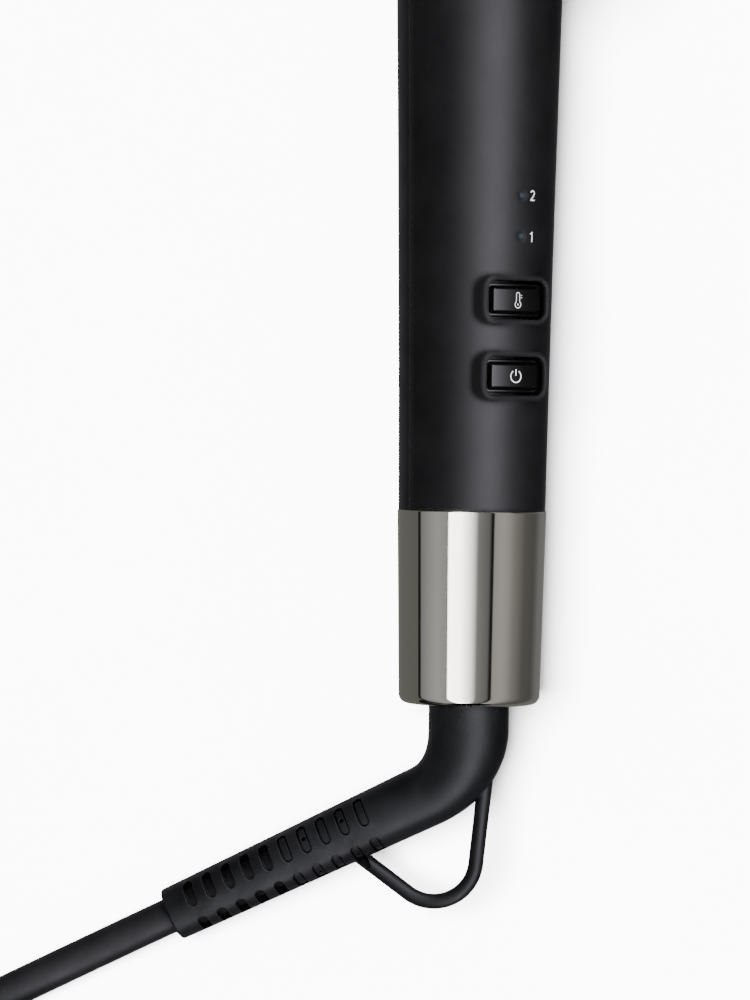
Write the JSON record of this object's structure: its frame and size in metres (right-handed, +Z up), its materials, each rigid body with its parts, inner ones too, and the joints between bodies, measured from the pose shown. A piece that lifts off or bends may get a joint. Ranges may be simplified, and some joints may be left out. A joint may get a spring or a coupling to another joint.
{
  "type": "curling iron",
  "caption": "Curling iron with a spring clip, a fold-out stand, push buttons, a polished tail collar and a swivelling mains cord with a hanging loop.",
  "frame": {"origin": "middle of the anti-roll flat on the heat guard that the iron rests on, lying on a table", "axes": "+Y along the barrel towards its tip (level, 1.2 degrees off the barrel's own axis), +Z up from the table, +X to the right seen from above"},
  "size_m": [0.1893, 0.5385, 0.0489],
  "materials": {
    "gunmetal": "polished black nickel",
    "soft_black": "soft-touch matte black",
    "guard_black": "heat-proof moulded black",
    "trim_metal": "polished",
    "barrel_coat": "ceramic-coated, satin",
    "clip_metal": "ceramic-coated, satin",
    "steel": "satin",
    "stand_steel": "black, satin",
    "heater_aluminium": "as extruded",
    "tip_ceramic": "heat-proof moulding",
    "ptc": "fired",
    "electrode": "rolled",
    "film": "polyimide film",
    "fuse": "tinned",
    "bead": "glass bead",
    "button_black": "gloss black",
    "switch_black": "moulded",
    "plunger_red": "moulded",
    "board_green": "solder-resist",
    "lamp": "clear",
    "light_pipe": "frosted clear",
    "capacitor": "moulded case",
    "terminal": "moulded",
    "wire": "insulated wire",
    "bearing": "acetal moulding",
    "carbon": "pressed carbon",
    "relief_rubber": "matte, fine-grained",
    "cord_black": "matte jacket",
    "tie": "hook-and-loop strap",
    "plug": "moulded black",
    "pins": "nickel-plated"
  },
  "bodies": {
    "iron": {"tail_collar": "gunmetal", "upper_shell": "soft_black", "lower_shell": "soft_black", "shell_screws": "steel", "front_trim": "trim_metal", "heat_guard": "guard_black", "barrel": "barrel_coat", "heater_shoe_upper": "heater_aluminium", "heater_shoe_lower": "heater_aluminium", "ptc_plates": "ptc", "electrodes": "electrode", "insulating_films": "film", "thermal_fuse": "fuse", "thermistor": "bead", "tip_insert": "tip_ceramic", "tip_cap": "guard_black", "tip_screw": "steel", "tip_cover": "guard_black", "clip_bracket": "steel", "clip_pin": "steel", "clip_spring": "steel", "stand_pin": "steel", "temperature_switch": "switch_black", "power_switch": "switch_black", "control_board": "board_green", "board_screws": "steel", "indicator_lamps": "lamp", "light_pipes": "light_pipe", "microcontroller": "switch_black", "suppression_capacitor": "capacitor", "triac": "switch_black", "terminal_block": "terminal", "mains_wires": "wire", "heater_wires": "wire", "swivel_housing": "bearing", "swivel_retainer": "bearing", "contact_brushes": "carbon", "brush_springs": "electrode"},
    "clip": {"clip_plate": "clip_metal", "clip_arm": "clip_metal", "clip_rivets": "steel", "thumb_pad": "guard_black"},
    "stand": {"stand_plate": "stand_steel"},
    "temperature_key": {"temperature_button": "button_black", "temperature_plunger": "plunger_red"},
    "power_key": {"power_button": "button_black", "power_plunger": "plunger_red"},
    "cord": {"swivel_spindle": "bearing", "slip_rings": "electrode", "strain_relief": "relief_rubber", "inner_cord": "cord_black", "cord_lead": "cord_black", "cord_coil": "cord_black", "cord_tail": "cord_black", "cord_tie": "tie", "plug_relief": "relief_rubber", "plug_body": "plug", "plug_pins": "pins", "plug_pin_sleeves": "plug"}
  },
  "joints": [
    {"name": "clip_hinge", "type": "hinge", "parent": "iron", "child": "clip", "pos_m": [0.00901, 0.01502, 0.03324], "axis": [0.848, 0.0109, -0.5298], "range_deg": [0, 10], "stiffness_Nm_per_rad": 0.25, "deforming": ["clip_spring"]},
    {"name": "stand_hinge", "type": "hinge", "parent": "iron", "child": "stand", "pos_m": [-0.00832, 0.01179, 0.00543], "axis": [-0.848, -0.0109, 0.5298], "range_deg": [0, 85]},
    {"name": "temperature_press", "type": "slide", "parent": "iron", "child": "temperature_key", "axis": [-0.5299, 0.0174, -0.8479], "range_m": [0, 0.0008], "stiffness_N_per_m": 900},
    {"name": "power_press", "type": "slide", "parent": "iron", "child": "power_key", "axis": [-0.5299, 0.0174, -0.8479], "range_m": [0, 0.0008], "stiffness_N_per_m": 900},
    {"name": "cord_swivel", "type": "hinge", "parent": "iron", "child": "cord", "pos_m": [0, -0.18364, 0.01475], "axis": [0, 0.9998, 0.0205], "continuous": true}
  ]
}
